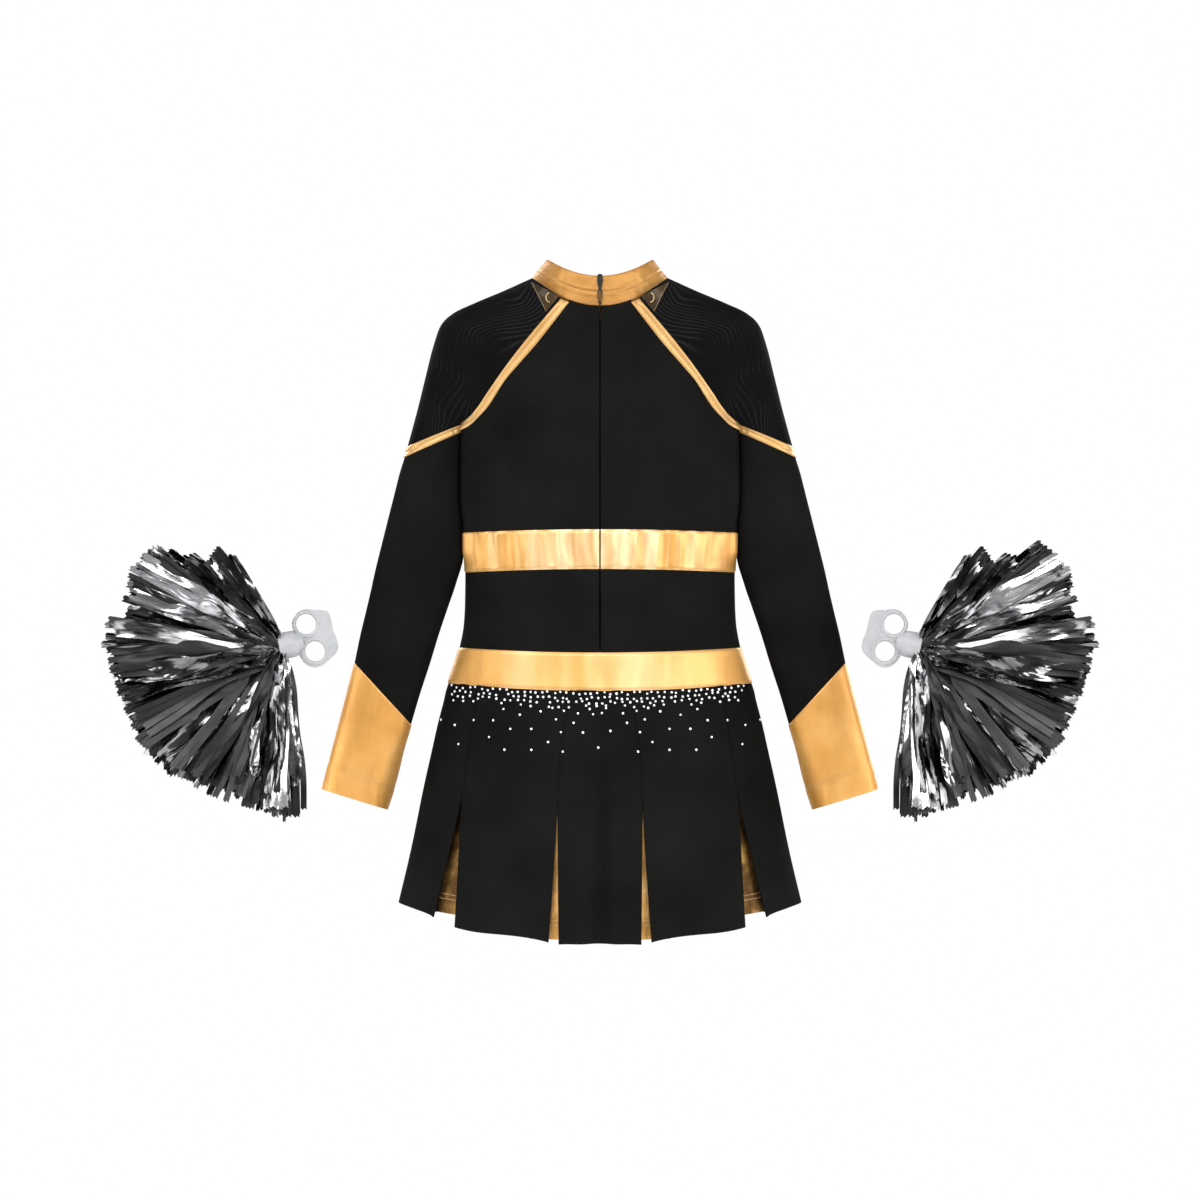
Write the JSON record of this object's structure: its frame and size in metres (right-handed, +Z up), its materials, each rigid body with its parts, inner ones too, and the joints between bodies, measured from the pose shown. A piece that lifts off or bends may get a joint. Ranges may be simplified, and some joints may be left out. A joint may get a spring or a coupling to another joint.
{
  "type": "cheer uniform",
  "caption": "Long-sleeved cheerleading dress with mock neck, back zip, sheer yokes, metallic bands and a box-pleated skirt, with a pair of finger-ring streamer poms.",
  "frame": {"origin": "midway between the shoulders at the base of the neck, where the dress is held up", "axes": "+Z up, the back of the dress faces -Y and its front +Y, X runs across the shoulders"},
  "size_m": [0.9888, 0.2714, 0.682],
  "materials": {
    "black_knit": "matte stretch knit",
    "sheer_mesh": "sheer stretch mesh",
    "gold_knit": "foil-printed metallic knit",
    "rhinestones": "faceted stones on a fine carrier",
    "zip_tape": "woven tape",
    "zip_metal": "black enamel",
    "handle_plastic": "satin moulded plastic",
    "metallic_film": "crinkled metallised film"
  },
  "bodies": {
    "dress": {"back_panel_left": "black_knit", "back_panel_right": "black_knit", "collar_back_left": "gold_knit", "collar_back_right": "gold_knit", "collar_front": "gold_knit", "front_panel": "black_knit", "hip_band_back": "gold_knit", "hip_band_front": "gold_knit", "midriff_back_left": "black_knit", "midriff_back_right": "black_knit", "midriff_front": "black_knit", "piping_back_left": "gold_knit", "piping_back_right": "gold_knit", "piping_front_left": "gold_knit", "piping_front_right": "gold_knit", "rhinestone_trim_back": "rhinestones", "rhinestone_trim_front": "rhinestones", "skirt_yoke_back": "black_knit", "skirt_yoke_front": "black_knit", "waist_band_back_left": "gold_knit", "waist_band_back_right": "gold_knit", "waist_band_front": "gold_knit", "yoke_left": "sheer_mesh", "yoke_right": "sheer_mesh", "zip_bottom_stop": "zip_metal", "zip_tape_left": "zip_tape", "zip_tape_right": "zip_tape"},
    "sleeve_left": {"sleeve_cap_left": "sheer_mesh", "sleeve_stripe_left": "gold_knit", "sleeve_upper_left": "black_knit"},
    "forearm_left": {"sleeve_lower_left": "black_knit", "cuff_left": "gold_knit"},
    "pleat_back_left": {"pleat_back_left": "black_knit", "insert_back_inner_left": "gold_knit"},
    "pleat_front_left": {"pleat_front_left": "black_knit", "insert_front_inner_left": "gold_knit"},
    "pleat_side_left": {"pleat_side_left": "black_knit", "insert_back_outer_left": "gold_knit", "insert_front_outer_left": "gold_knit"},
    "pom_left": {"pom_handle_left": "handle_plastic", "pom_tuft_left": "metallic_film"},
    "sleeve_right": {"sleeve_cap_right": "sheer_mesh", "sleeve_stripe_right": "gold_knit", "sleeve_upper_right": "black_knit"},
    "forearm_right": {"sleeve_lower_right": "black_knit", "cuff_right": "gold_knit"},
    "pleat_back_right": {"pleat_back_right": "black_knit", "insert_back_inner_right": "gold_knit"},
    "pleat_front_right": {"pleat_front_right": "black_knit", "insert_front_inner_right": "gold_knit"},
    "pleat_side_right": {"pleat_side_right": "black_knit", "insert_back_outer_right": "gold_knit", "insert_front_outer_right": "gold_knit"},
    "pom_right": {"pom_handle_right": "handle_plastic", "pom_tuft_right": "metallic_film"},
    "pleat_back_centre": {"pleat_back_centre": "black_knit"},
    "pleat_front_centre": {"pleat_front_centre": "black_knit"},
    "zip_slider": {"zip_slider": "zip_metal"},
    "zip_pull": {"zip_pull": "zip_metal"}
  },
  "joints": [
    {"name": "skirt_flare", "type": "hinge", "parent": "dress", "child": "pleat_back_centre", "pos_m": [0, -0.084, -0.4833], "axis": [-1, 0, 0], "range_deg": [0, 25]},
    {"name": "flare_front_centre", "type": "hinge", "parent": "dress", "child": "pleat_front_centre", "pos_m": [0, 0.084, -0.4833], "axis": [1, 0, 0], "range_deg": [0, 25]},
    {"name": "flare_back_left", "type": "hinge", "parent": "dress", "child": "pleat_back_left", "pos_m": [-0.09128, -0.07553, -0.4833], "axis": [-0.9697, 0.2443, 0], "range_deg": [0, 25]},
    {"name": "flare_back_right", "type": "hinge", "parent": "dress", "child": "pleat_back_right", "pos_m": [0.09128, -0.07553, -0.4833], "axis": [-0.9697, -0.2443, 0], "range_deg": [0, 25]},
    {"name": "flare_front_left", "type": "hinge", "parent": "dress", "child": "pleat_front_left", "pos_m": [-0.09128, 0.07553, -0.4833], "axis": [0.9697, 0.2443, 0], "range_deg": [0, 25]},
    {"name": "flare_front_right", "type": "hinge", "parent": "dress", "child": "pleat_front_right", "pos_m": [0.09128, 0.07553, -0.4833], "axis": [0.9697, -0.2443, 0], "range_deg": [0, 25]},
    {"name": "flare_side_left", "type": "hinge", "parent": "dress", "child": "pleat_side_left", "pos_m": [-0.177, 0, -0.4833], "axis": [0, 1, 0], "range_deg": [0, 25]},
    {"name": "flare_side_right", "type": "hinge", "parent": "dress", "child": "pleat_side_right", "pos_m": [0.177, 0, -0.4833], "axis": [0, -1, 0], "range_deg": [0, 25]},
    {"name": "shoulder_raise_left", "type": "hinge", "parent": "dress", "child": "sleeve_left", "pos_m": [-0.133, 0, -0.044], "axis": [0, 1, 0], "range_deg": [0, 80]},
    {"name": "shoulder_raise_right", "type": "hinge", "parent": "dress", "child": "sleeve_right", "pos_m": [0.133, 0, -0.044], "axis": [0, -1, 0], "range_deg": [0, 80]},
    {"name": "elbow_bend_left", "type": "hinge", "parent": "sleeve_left", "child": "forearm_left", "pos_m": [-0.19, 0.0212, -0.3012], "axis": [0.9622, 0, -0.2722], "range_deg": [0, 105]},
    {"name": "elbow_bend_right", "type": "hinge", "parent": "sleeve_right", "child": "forearm_right", "pos_m": [0.19, 0.0212, -0.3012], "axis": [0.9622, 0, 0.2722], "range_deg": [0, 105]},
    {"name": "zip_slide", "type": "slide", "parent": "dress", "child": "zip_slider", "axis": [0, 0, -1], "range_m": [0, 0.3515]},
    {"name": "zip_pull_swing", "type": "hinge", "parent": "zip_slider", "child": "zip_pull", "pos_m": [0, -0.0651, 0.0125], "axis": [-1, 0, 0], "range_deg": [-8, 115]},
    {"name": "pom_lift_left", "type": "slide", "parent": "dress", "child": "pom_left", "axis": [0, 0, 1], "range_m": [0, 0.25]},
    {"name": "pom_lift_right", "type": "slide", "parent": "dress", "child": "pom_right", "axis": [0, 0, 1], "range_m": [0, 0.25]}
  ],
  "couplings": [
    {"joint": "flare_front_centre", "follows": "skirt_flare", "ratio": 1},
    {"joint": "flare_back_left", "follows": "skirt_flare", "ratio": 1},
    {"joint": "flare_back_right", "follows": "skirt_flare", "ratio": 1},
    {"joint": "flare_front_left", "follows": "skirt_flare", "ratio": 1},
    {"joint": "flare_front_right", "follows": "skirt_flare", "ratio": 1},
    {"joint": "flare_side_left", "follows": "skirt_flare", "ratio": 1},
    {"joint": "flare_side_right", "follows": "skirt_flare", "ratio": 1}
  ]
}
